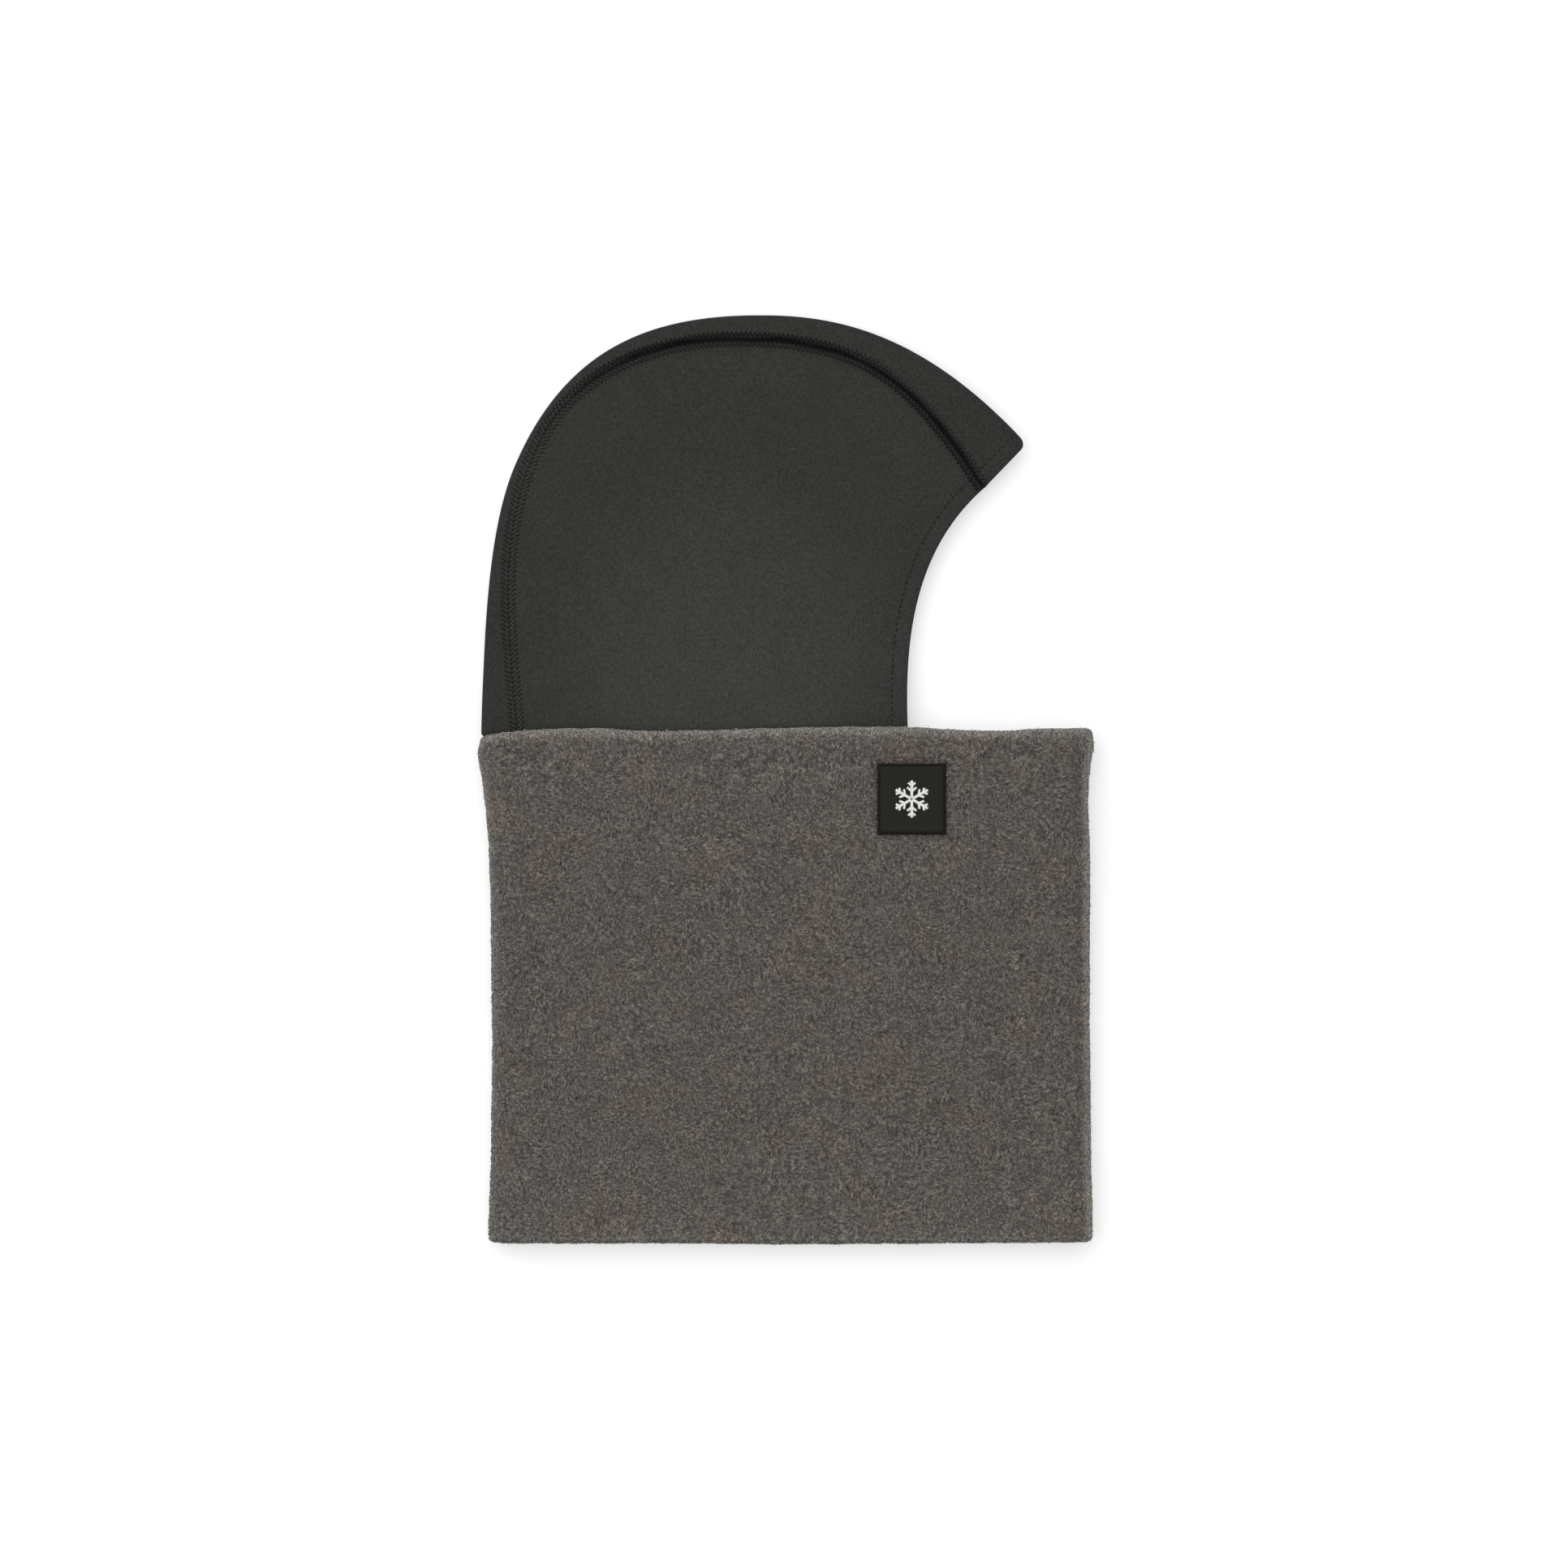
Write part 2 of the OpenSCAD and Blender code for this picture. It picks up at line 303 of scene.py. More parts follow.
def threads(name, material, parts):
    """One object of several (points, faces) parts."""
    points, faces, offset = [], [], 0
    for p, f in parts:
        points.append(p)
        faces += [[i + offset for i in face] for face in f]
        offset += len(p)
    return mesh_object(name, np.concatenate(points), faces, material)


def rides(piece, slot, *nodes, body="collar"):
    """A piece on one body that takes the place of the nodes."""
    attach(piece, body)
    if nodes:
        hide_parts(*nodes)
    return piece


# ------ materials


def level(value):
    """A linear value from a display level of 0 to 255."""
    c = value / 255
    return c / 12.92 if c <= 0.04045 else ((c + 0.055) / 1.055) ** 2.4


# How much darker a cloth's own colour is than its display level under this light.
EXPOSURE = 0.86


def tone(r, g, b, gain=1.0):
    return tuple(level(v) * EXPOSURE * gain for v in (r, g, b))


def times(colour, k):
    return tuple(c * k for c in colour)


class Cloth:
    """A material with short ways to add and join its nodes."""

    def __init__(self, name, roughness=0.9, sheen=0.0, sheen_roughness=0.5, specular=0.2):
        self.material = bpy.data.materials.new(name)
        self.material.use_nodes = True
        self.tree = self.material.node_tree
        self.shader = self.tree.nodes["Principled BSDF"]
        self.set("Roughness", roughness)
        self.set("Specular IOR Level", specular)
        self.set("Sheen Weight", sheen)
        self.set("Sheen Roughness", sheen_roughness)

    def set(self, socket, value):
        self.feed(self.shader.inputs[socket], value)

    def feed(self, socket, value):
        if isinstance(value, bpy.types.NodeSocket):
            self.tree.links.new(value, socket)
        elif isinstance(value, tuple) and socket.type == "RGBA":
            socket.default_value = (*value, 1)
        else:
            socket.default_value = value

    def node(self, kind, inputs=None, **settings):
        made = self.tree.nodes.new(kind)
        for key, value in settings.items():
            setattr(made, key, value)
        for key, value in (inputs or {}).items():
            self.feed(made.inputs[key], value)
        return made

    def place(self, scale=(1, 1, 1), turn=0.0):
        """Coordinates on the cloth in millimetres, stretched by scale."""
        origin = self.node("ShaderNodeTexCoord").outputs["Object"]
        inputs = {"Vector": origin, "Scale": tuple(s / MM for s in scale), "Rotation": (0, 0, turn)}
        return self.node("ShaderNodeMapping", inputs).outputs["Vector"]

    def shade(self):
        return self.node("ShaderNodeAttribute", attribute_name="shade").outputs["Fac"]

    def darkened(self, colour):
        """The colour, darker by the mesh's shade."""
        return self.mix(colour, self.maths("SUBTRACT", 1.0, self.shade()), 1.0, "MULTIPLY")

    def noise(self, place, size, detail=2.0, roughness=0.5):
        inputs = {"Vector": place, "Scale": 1 / size, "Detail": detail, "Roughness": roughness}
        return self.node("ShaderNodeTexNoise", inputs).outputs["Fac"]

    def wave(self, place, scale, distortion, axis, detail_scale=1.0):
        inputs = {"Vector": place, "Scale": scale, "Distortion": distortion, "Detail": 1.0}
        inputs["Detail Scale"] = detail_scale
        return self.node("ShaderNodeTexWave", inputs, bands_direction=axis).outputs["Fac"]

    def ramp(self, value, *stops):
        made = self.node("ShaderNodeValToRGB", {"Fac": value})
        elements = made.color_ramp.elements
        while len(elements) < len(stops):
            elements.new(0.5)
        for element, (at, colour) in zip(elements, stops):
            element.position = at
            element.color = (*colour, 1)
        return made.outputs["Color"]

    def greys(self, value, low, high):
        return self.ramp(value, (0.3, (low, low, low)), (0.7, (high, high, high)))

    def mix(self, a, b, factor, kind="MIX"):
        made = self.node("ShaderNodeMix", data_type="RGBA", blend_type=kind)
        self.feed(made.inputs[0], factor)
        self.feed(made.inputs[6], a)
        self.feed(made.inputs[7], b)
        return made.outputs[2]

    def maths(self, operation, a, b=0.0, c=0.0):
        made = self.node("ShaderNodeMath", operation=operation)
        for socket, value in zip(made.inputs, (a, b, c)):
            self.feed(socket, value)
        return made.outputs[0]

    def bump(self, height, strength, distance, under=None):
        inputs = {"Height": height, "Strength": strength, "Distance": distance * MM}
        if under is not None:
            inputs["Normal"] = under
        return self.node("ShaderNodeBump", inputs).outputs["Normal"]


def fleece_material(name, gain=1.0, rim=0.0):
    """Brushed fleece: curls of pile that lie this way and that, dark pits, and, with rim, painted highlight
    on the rims and painted shadow round the label, from the mesh's shade.
    """
    cloth = Cloth(name, roughness=0.95, sheen=0.3, sheen_roughness=0.45, specular=0.06)
    place = cloth.place()
    swirl = cloth.noise(place, 14, detail=1)
    lies = (cloth.place((1.0, 0.55, 1.0), 0.6), cloth.place((0.6, 1.0, 1.0), 0.35))
    curls = (cloth.noise(lie, 1.0, detail=3, roughness=0.6) for lie in lies)
    curls = cloth.mix(*curls, cloth.greys(swirl, 0.0, 1.0))
    tufts = cloth.noise(place, 0.6, roughness=0.6)
    shades = ((0.3, (44, 41, 38)), (0.48, (82, 77, 73)), (0.7, (127, 121, 115)))
    heather = cloth.ramp(curls, *((at, tone(*shade, gain)) for at, shade in shades))
    cool, warm = (0.95, 0.99, 0.99), (1.05, 1.01, 1.0)
    tints = [
        (cloth.greys(tufts, 0.5, 1.45), 0.8),
        (cloth.greys(cloth.noise(place, 7), 0.87, 1.11), 0.8),
        (cloth.ramp(cloth.noise(place, 23), (0.35, cool), (0.65, warm)), 1.0),
    ]
    # Painted highlight and painted shadow, from the mesh's shade.
    if rim:
        tints.append((cloth.maths("MULTIPLY_ADD", cloth.shade(), rim, 1.0), 1.0))
    for tint, share in tints:
        heather = cloth.mix(heather, tint, share, "MULTIPLY")
    cloth.set("Base Color", heather)
    cloth.set("Normal", cloth.bump(curls, 0.8, 0.45, under=cloth.bump(tufts, 0.6, 0.22)))
    return cloth.material


def pile_material(name, colour):
    cloth = Cloth(name, roughness=0.9, sheen=0.3, specular=0.06)
    cloth.set("Base Color", colour)
    return cloth.material


def jersey_material():
    """Brushed stretch jersey: a fine soft grain, and painted shade, from the mesh's shade, in its seam
    creases and towards the crown.
    """
    cloth = Cloth("jersey_knit", roughness=0.9, sheen=0.03, sheen_roughness=0.4, specular=0.05)
    place = cloth.place()
    fuzz = cloth.noise(place, 0.5, roughness=0.65)
    melange = cloth.noise(cloth.place((1, 0.7, 1)), 0.9)
    wear = cloth.noise(place, 18)
    base = cloth.ramp(melange, (0.3, tone(49, 49, 47)), (0.7, tone(63, 63, 61)))
    base = cloth.mix(base, cloth.greys(fuzz, 0.76, 1.26), 0.8, "MULTIPLY")
    base = cloth.mix(base, cloth.greys(wear, 0.96, 1.04), 1.0, "MULTIPLY")
    cloth.set("Base Color", cloth.darkened(base))
    knit = cloth.wave(place, 0.35, 1.2, "X", detail_scale=2.0)
    cloth.set("Normal", cloth.bump(fuzz, 0.35, 0.15, under=cloth.bump(knit, 0.15, 0.1)))
    return cloth.material


def thread_material(name, colour):
    cloth = Cloth(name, roughness=0.7, specular=0.04)
    ply = cloth.noise(cloth.place(), 0.3, detail=1)
    cloth.set("Base Color", cloth.ramp(ply, (0.3, times(colour, 0.75)), (0.7, times(colour, 1.25))))
    cloth.set("Normal", cloth.bump(ply, 0.3, 0.05))
    return cloth.material


def satin_material(name, colour, pitch=0.28, shaded=False):
    """Satin weave: fine floats across a slight ribbing. shaded is for a mesh with darker parts."""
    cloth = Cloth(name, roughness=0.55, specular=0.08)
    place = cloth.place()
    floats = cloth.wave(place, 0.3 / pitch, 0.4, "Y")
    ribs = cloth.wave(place, 0.3 / pitch / 1.7, 0.4, "X")
    both = cloth.maths("MULTIPLY", floats, ribs)
    woven = cloth.ramp(both, (0.0, times(colour, 0.6)), (0.8, times(colour, 1.4)))
    cloth.set("Base Color", cloth.darkened(woven) if shaded else woven)
    cloth.set("Normal", cloth.bump(floats, 0.35, 0.08, under=cloth.bump(ribs, 0.2, 0.08)))
    return cloth.material


FLEECE = fleece_material("fleece_pile", rim=0.88)
LINING = fleece_material("fleece_lining", gain=0.85)
JERSEY = jersey_material()
SEAM_THREAD = thread_material("seam_thread", tone(23, 23, 22))
HEM_THREAD = thread_material("hem_thread", tone(33, 33, 32))
LABEL_THREAD = thread_material("label_thread", tone(20, 20, 19))
LABEL_WEAVE = satin_material("label_weave", tone(32, 32, 30), shaded=True)
WHITE_WEAVE = satin_material("white_weave", tone(232, 232, 230), pitch=0.4)

# ------ camera, light and floor

CAMERA_HEIGHT = 2.546
CAMERA_LENS = 135
FRAMING = (-0.0009, -0.0023)
KEY_PLACE = (-0.7, 0.75, 2.4)
KEY_SIZE = 4.5
KEY_POWER = 90
SKY = 0.6
FLOOR_GREY = 0.5
FLOOR_GLOW = 0.46
FLOOR_REACH = 4000
FLOOR_LEVEL = -0.2


def make_camera():
    camera = linked("camera", bpy.data.cameras.new("camera"))
    camera.data.lens = CAMERA_LENS
    camera.data.sensor_width = 36
    camera.data.clip_start = 0.05
    camera.data.clip_end = 20
    camera.location = (*FRAMING, CAMERA_HEIGHT)
    bpy.context.scene.camera = camera


def make_key_light():
    light = linked("key", bpy.data.lights.new("key", "AREA"))
    light.data.shape = "DISK"
    light.data.size = KEY_SIZE
    light.data.energy = KEY_POWER
    light.location = KEY_PLACE
    light.rotation_euler = (-Vector(KEY_PLACE)).to_track_quat("-Z", "Y").to_euler()


def make_studio():
    world = bpy.data.worlds.new("studio")
    world.use_nodes = True
    background = world.node_tree.nodes["Background"].inputs
    background["Color"].default_value = (1, 1, 1, 1)
    background["Strength"].default_value = SKY
    bpy.context.scene.world = world
    bpy.context.scene.view_settings.view_transform = "Standard"
    paper = Cloth("floor_paper", roughness=0.9)
    paper.set("Base Color", (FLOOR_GREY,) * 3)
    paper.set("Emission Color", (1, 1, 1))
    paper.set("Emission Strength", FLOOR_GLOW)
    square = ((-1, -1), (1, -1), (1, 1), (-1, 1))
    corners = [(x * FLOOR_REACH, y * FLOOR_REACH, FLOOR_LEVEL) for x, y in square]
    mesh_object("floor", corners, [(0, 1, 2, 3)], paper.material)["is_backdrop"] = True


make_camera()
make_key_light()
make_studio()

# ------ collar: its shape

FOLD_REACH = 11
FOLD_POWER = 2.15
HALF_W = (COLLAR_RIGHT - COLLAR_LEFT) / 2
HALF_T = COLLAR_T / 2
ROLL_R = WALL_T / 2
ROLL_POWER = 2.7
OUTER_T = 2.4
LAYER_GAP = 0.3
TURN_IN = 7
OUTER_COLUMNS = 400
LINING_COLUMNS = 300
# Fibres: the most of one colour, their corners' angles, how deep and how low they root, and their lie.
FIBRES = 46000
FIBRE_SIDES = (0, 2.094, 4.189)
PILE_ROOT = 0.35
PILE_FLOOR = 2.2
PILE_LIE = np.array((0.1, -0.5, 0))

# How far the collar stands in from the frame: at its sides by share of height, at its ends by share of width.
left_waist = through((0, 2.8), (0.22, 4.0), (0.45, 4.3), (0.77, 2.95), (0.9, 0.2), (0.955, -1.8), (1, 0))
right_waist = through(
    *((0, -1.0), (0.22, -0.2), (0.52, 0.3), (0.72, 0.2), (0.84, 0.85), (0.89, 0.85)),
    *((0.936, 0.0), (0.952, -0.75), (0.968, -1.4), (1, -0.8)),
)
top_wave = through(
    *((0, -2.8), (0.01, -2.4), (0.06, -0.9), (0.17, 0.4), (0.28, -0.9), (0.435, 0.1), (0.54, 0.7)),
    *((0.7, 0.85), (0.835, -0.85), (0.93, 0.45), (0.955, 0.27), (0.975, 0.2), (0.99, 0.3), (1, 0.1)),
)
bottom_wave = through((0, 0.5), (0.02, 0.1), (0.3, 0.1), (0.5, -0.25), (0.9, 0.4), (1, 0.7))


def flat_section(count):
    """Even points and outward normals round the flattened tube's section, from the right fold."""
    a = np.linspace(0, math.pi / 2, 60)
    x = HALF_W - FOLD_REACH + FOLD_REACH * np.cos(a) ** (2 / FOLD_POWER)
    z = HALF_T * np.sin(a) ** (2 / FOLD_POWER)
    quarter = np.stack([x, z], -1)
    half = np.concatenate([quarter, quarter[::-1] * (-1, 1)])
    loop = np.concatenate([half, half[::-1][1:] * (1, -1)])
    s = lengths_along(loop)
    points = sample(loop, np.arange(count) * s[-1] / count, s)
    d = unit(np.roll(points, -1, axis=0) - np.roll(points, 1, axis=0))
    return points, np.stack([d[:, 1], -d[:, 0]], -1)


def collar_thickness(x, y):
    """The flattened collar's thickness: full at the mouth, which holds the hood, and sunk lower down."""
    v = (y - COLLAR_BOTTOM) / COLLAR_H
    sunk = 1 - smooth_step((v - 0.3) / 0.7)
    middle = 1 - np.clip(np.abs(x) / HALF_W, 0, 1) ** 3
    p = np.stack([x, y, np.zeros_like(x)], -1)
    calm = 0.42 * noise(p, 52, 3) + 0.14 * noise(p, 23, 4)
    return COLLAR_T - 0.4 - sunk * (3.6 + 1.3 * middle) + calm * (0.5 + 0.5 * sunk)


def collar_points(section, normals, y, depth):
    """Points of the collar at height y, depth mm in from the outer face. All broadcast."""
    v = np.clip((y - COLLAR_BOTTOM) / COLLAR_H, 0, 1)
    share = (section[..., 0] + HALF_W) / (2 * HALF_W)
    left = COLLAR_LEFT + left_waist(v)
    right = COLLAR_RIGHT - right_waist(v)
    x = left + (right - left) * share
    z = (section[..., 1] / HALF_T + 1) / 2 * collar_thickness(x, y)
    return np.stack([x - normals[..., 0] * depth, y + 0 * x, z - normals[..., 1] * depth], -1)


def end_line(section, wave, way):
    """Where the collar's end is at each section point. The side on the table stands back a little."""
    share = (section[:, 0] + HALF_W) / (2 * HALF_W)
    under = smooth_step(-section[:, 1] / HALF_T)
    base = COLLAR_TOP if way > 0 else COLLAR_BOTTOM
    return base + wave(share) - way * 0.9 * under


def roll(start, end):
    """Depth and overhang of the rolled rim: a half round, a little squared."""
    a = np.linspace(start, end, 16)
    depth = ROLL_R * (1 - np.sign(np.cos(a)) * np.abs(np.cos(a)) ** (2 / ROLL_POWER))
    return np.stack([depth, ROLL_R * np.abs(np.sin(a)) ** (2 / ROLL_POWER)], -1)


def wall_path():
    """The outer layer's closed path through the wall, as rows of depth, share of the face, and offset."""
    depth, out = WALL_T - 0.5, TURN_IN + 0.4
    turn = np.linspace(0, TURN_IN, 5)
    rows = [(0.0, f, 0.0) for f in np.linspace(0, 1, 160)]
    rows += [(d, 1, over) for d, over in roll(0, math.pi)[1:]]
    rows += [(WALL_T, 1, -d) for d in turn[1:]]
    rows += [(depth, 1, -out), *((OUTER_T, f, 0.0) for f in np.linspace(0.96, 0.04, 14)), (depth, 0, out)]
    rows += [(WALL_T, 0, d) for d in turn[:0:-1]]
    rows += [(d, 0, -over) for d, over in roll(math.pi, 0)[:-1]]
    return rows


def wall_grid(rows, count):
    """Points of rows through the collar's wall, each row right round the tube."""
    section, normals = flat_section(count)
    top = end_line(section, top_wave, 1) - ROLL_R
    bottom = end_line(section, bottom_wave, -1) + ROLL_R
    ys = (bottom + (top - bottom) * share + offset for _, share, offset in rows)
    return np.stack([collar_points(section, normals, y, row[0]) for y, row in zip(ys, rows)])


def lumpy(rows, count, sizes, outer):
    """A layer of fleece with lumps of the sizes (height, size, seed) on the rows that outer marks."""
    grid = wall_grid(rows, count)
    normals = grid_normals(grid, wrap_rows=True, wrap_columns=True)
    lumps = sum(height * noise(grid, size, seed) for height, size, seed in sizes)
    grid += normals * (lumps * outer[:, None])[..., None]
    return grid, normals


def painted_rim_light(grid, across):
    """Painted highlight on the fleece's rims: along the mouth, in patches on the folds (more on the right one
    than the left) and less along the bottom; also paler towards the bottom, and painted shadow round the
    label.
    """
    below_top = np.max(grid[..., 1], axis=0) - grid[..., 1]
    above_bottom = grid[..., 1] - np.min(grid[..., 1], axis=0)
    # Painted highlight along the mouth, on the folds (stronger on the right fold) and along the bottom rim,
    # in patches.
    mouth = 1.45 * np.exp(-((below_top / 2.6) ** 2))
    fold = smooth_step((np.abs(across) - HALF_W + 4.5) / 4) * np.where(across > 0, 1.75, 0.4)
    bottom = 0.35 * np.exp(-((above_bottom / 2.6) ** 2))
    patchy = 1 + 0.35 * noise(grid, 6, 14)
    # Paler towards the bottom.
    paler_low = 0.1 * (1 - smooth_step(above_bottom / 60))
    # Painted shadow of the label on the fleece, just round its edge.
    past = np.abs(grid[..., :2] - LABEL_MID[:2]) - LABEL_SIZE[:2] / 2
    beside = np.linalg.norm(np.clip(past, 0, None), axis=-1)
    painted_label_shadow = 0.5 * np.exp(-((beside / 1.5) ** 2)) * (grid[..., 2] > HALF_T)
    return np.clip((mouth + fold + bottom) * patchy, 0, 1.8) + paler_low - painted_label_shadow


def make_outer_layer():
    """The outer fleece, turned in at both ends, and its grid, normals and seen rows for the pile."""
    rows = wall_path()
    seen = np.array([depth <= WALL_T and (share in (0, 1) or depth == 0) for depth, share, _ in rows])
    grid, normals = lumpy(rows, OUTER_COLUMNS, ((0.2, 2.8, 11), (0.14, 5.5, 12), (0.1, 13, 13)), seen)
    grid[..., 2] = np.maximum(grid[..., 2], 0)
    faces = grid_faces(len(rows), OUTER_COLUMNS, wrap_rows=True, wrap_columns=True)
    piece = mesh_object("fleece_outer", grid, faces, FLEECE)
    add_shade(piece, painted_rim_light(grid, flat_section(OUTER_COLUMNS)[0][:, 0]))
    return piece, grid, normals, seen


def make_lining():
    edge = (TURN_IN - 0.4) / (COLLAR_H - WALL_T) + 0.004
    rows = [(WALL_T, f, 0.0) for f in np.linspace(edge, 1 - edge, 90)]
    rows += [(OUTER_T + LAYER_GAP, f, 0.0) for f in np.linspace(1 - edge, edge, 12)]
    seen = np.array([depth == WALL_T for depth, _, _ in rows])
    grid, _ = lumpy(rows, LINING_COLUMNS, ((0.3, 3.4, 21), (0.3, 9, 22)), seen)
    faces = grid_faces(len(rows), LINING_COLUMNS, wrap_rows=True, wrap_columns=True)
    return mesh_object("fleece_inner", grid, faces, LINING)


def make_pile(name, seed, colour, length, width, liking):
    """Loose fibres of the fleece, each a thin closed spike. liking is how much more it grows on the rims,
    where paler fibres paint a highlight.
    """
    draw = np.random.default_rng(seed)
    rows = np.flatnonzero(outer_seen[:-1] & outer_seen[1:])
    tries = 3 * FIBRES
    r = draw.choice(rows, tries)
    c = draw.integers(0, OUTER_COLUMNS, tries)
    fr, fc = draw.random((2, tries, 1))
    c2 = (c + 1) % OUTER_COLUMNS

    def on_grid(a):
        low = a[r, c] * (1 - fc) + a[r, c2] * fc
        high = a[r + 1, c] * (1 - fc) + a[r + 1, c2] * fc
        return low * (1 - fr) + high * fr

    root, n = on_grid(outer_grid), on_grid(outer_normals)
    rim = np.exp(-(((root[:, 1] - COLLAR_TOP) / 3.5) ** 2)) + smooth_step((root[:, 0] - HALF_W + 5) / 5)
    wanted = draw.random(tries) < (1 + liking * np.clip(rim, 0, 1)) / (1 + max(liking, 0))
    under_label = np.all(np.abs(root[:, :2] - LABEL_MID[:2]) < LABEL_SIZE[:2] / 2 + 0.2, axis=1)
    chosen = (root[:, 2] > PILE_FLOOR) & wanted & ~under_label
    root, n = root[chosen][:FIBRES], n[chosen][:FIBRES]
    count = len(root)
    wander = draw.normal(0, 1, (count, 3)) + PILE_LIE
    lean = draw.uniform(0.6, 1.5, (count, 1))
    direction = unit(n + lean * unit(wander))
    reach = length * draw.uniform(0.6, 1.3, (count, 1))
    side = unit(np.cross(direction, draw.normal(0, 1, (count, 3))))
    other = np.cross(direction, side)
    width = width * draw.uniform(0.75, 1.25, (count, 1))
    foot = root - PILE_ROOT * n
    corners = [foot + width * (math.cos(a) * side + math.sin(a) * other) for a in FIBRE_SIDES]
    points = np.stack([*corners, root + direction * reach], 1)
    base = np.arange(count)[:, None] * 4
    faces = np.concatenate([base + f for f in ([0, 2, 1], [0, 1, 3], [1, 2, 3], [2, 0, 3])])
    rides(mesh_object(name, points, faces, pile_material(name, colour)), "fleece")


def wall_threads(name, node, places, along):
    """Lock stitches inside the wall, between its two layers."""
    made = stitches(places - along / 2, places + along / 2, UP, 0.12)
    rides(threads(name, SEAM_THREAD, [made]), "seam_thread", node)


def make_wall_seams():
    section, normals = flat_section(OUTER_COLUMNS)
    depth = OUTER_T + LAYER_GAP / 2
    fold = np.argmin(section[:, 0] - 0.01 * np.abs(section[:, 1]))
    ys = np.arange(COLLAR_BOTTOM + 10, COLLAR_TOP - 12, 4.2)
    places = np.stack([collar_points(section[fold], normals[fold], y, depth) for y in ys])
    wall_threads("collar_back_seam", "collar_back_seam_thread", places, np.array((0, 3.2, 0)))
    flat = np.flatnonzero((np.abs(section[:, 0]) < HALF_W - 12))[::3]
    y = COLLAR_BOTTOM + WALL_T + TURN_IN
    places = collar_points(section[flat], normals[flat], np.full(len(flat), y), depth)
    wall_threads("collar_bottom_seam", "collar_bottom_seam_thread", places, np.array((3.2, 0, 0)))


outer_fleece, outer_grid, outer_normals, outer_seen = make_outer_layer()
rides(outer_fleece, "fleece", "fleece_outer_layer")
inner_fleece = rides(make_lining(), "fleece_lining", "fleece_lining_layer")
# Paler fibres gather on the rims and dark ones keep off them: a painted highlight along the rims.
for name, seed, shades, *rest in (
    ("pile_pale", 31, (165, 159, 153), 1.9, 0.2, 14.0),
    ("pile_light", 32, (120, 114, 108), 1.6, 0.15, 2.5),
    ("pile_middle", 33, (84, 79, 75), 1.4, 0.15, 0.0),
    ("pile_dark", 34, (46, 42, 39), 1.2, 0.15, -0.8),
):
    make_pile(name, seed, tone(*shades), *rest)
make_wall_seams()

# ------ hood: its outlines

# The hood's outlines on its nominal size: curves of four points each, which begin where the last one ends.
NOMINAL = np.array((233, 179))
FOLD = (
    *((0, 0), (0.8, 47), (3.2, 90), (15, 116), (37.6, 167), (75.5, 179.3), (122, 178.8)),
    *((156, 178.7), (192, 169), (234.5, 123)),
)
SEAM = (
    *((15, 0), (11, 40), (5, 84.5), (23.5, 122.5), (39, 157), (78, 170), (114, 169)),
    *((169, 168), (187.2, 148.4), (216.4, 104.4)),
)
FACE = ((216.4, 104.4), (186, 77.5), (182, 39), (183.5, 0))
CURVE_STEPS = 44
FOLD_OUT = 0.5
SKIRT_END = JOIN_LOW[1]
pinch = through((10, 6.3), (14.5, 5.2), (16.2, 4.2), (17.4, 2.4), (18.2, 0.9), (19.2, 0))


def pinched(points):
    """Below the collar's mouth the back of the hood draws in, to pass inside the collar's side fold."""
    points = np.array(points, float)
    points[:, 0] += pinch(points[:, 1]) * smooth_step((-points[:, 0] - 70) / 60)
    return points


def hood_curve(points, out=0.0):
    """The curves end to end, moved out mm to the left of their direction."""
    parts = [bezier(points[i : i + 4], CURVE_STEPS, first=min(i, 1)) for i in range(0, len(points) - 1, 3)]
    line = (COLLAR_LEFT, COLLAR_TOP) + np.concatenate(parts) * (HOOD_REACH, HOOD_RISE) / NOMINAL
    return moved(line, -out)


def from_skirt(line, steps=30):
    """The line with a straight start from the hood's lower end inside the collar."""
    ys = np.linspace(SKIRT_END, line[0, 1], steps, endpoint=False)
    return np.concatenate([np.stack([np.full(steps, line[0, 0]), ys], -1), line])


FOLD_LINE = pinched(from_skirt(hood_curve(FOLD, FOLD_OUT)))
SEAM_LINE = pinched(from_skirt(hood_curve(SEAM)))
FACE_LINE = from_skirt(hood_curve(FACE)[::-1])[::-1]
BRIM_LINE = np.stack([FOLD_LINE[-1], SEAM_LINE[-1]])
FRONT_LINE = np.concatenate([BRIM_LINE, FACE_LINE[1:]])
SEAM_LENGTHS = lengths_along(SEAM_LINE)
SEAM_OUTWARD = -right_normals(SEAM_LINE)

# ------ hood: its heights

HOOD_FALL = 34
# Where the hood's painted shade is least.
CHEEK = (-25, 50)
JERSEY_T = 0.85
HEM_W = 6.9
HEM_LINE = HEM_W - 0.3
HEM_R = JERSEY_T + 0.08
HEM_ROWS = (1.2, 2.6, 4.0, 5.4, 6.6)
STITCH_PITCH = 2.0
HEM_PITCH = 2.6
MOUTH_LOW, MOUTH_HIGH = SKIRT_LOW[2] + 0.3, SKIRT_HIGH[2] - 0.3
REST_LOW, REST_HIGH = 0.9, 7.9
TABLE_GAP = 0.66
BRIM_LIFT = 5.0
EDGE_REACH = 5.5
EDGE_POWER = 2.1
TIP_R = 3.0


def hood_levels(xy):
    """The lower face's height and the half thickness at each place, before rounding at the fold."""
    fall = smooth_step((xy[:, 1] - COLLAR_TOP) / HOOD_FALL)
    low = MOUTH_LOW + (REST_LOW - MOUTH_LOW) * fall
    high = MOUTH_HIGH + (REST_HIGH - MOUTH_HIGH) * fall
    front, _ = nearest(xy, FRONT_LINE)
    slack = 1 - 0.3 * np.exp(-((front / 17) ** 2))
    raised = BRIM_LIFT * smooth_step((xy[:, 0] - 5) / 95) * fall
    return low + raised, (high - low) / 2 * slack


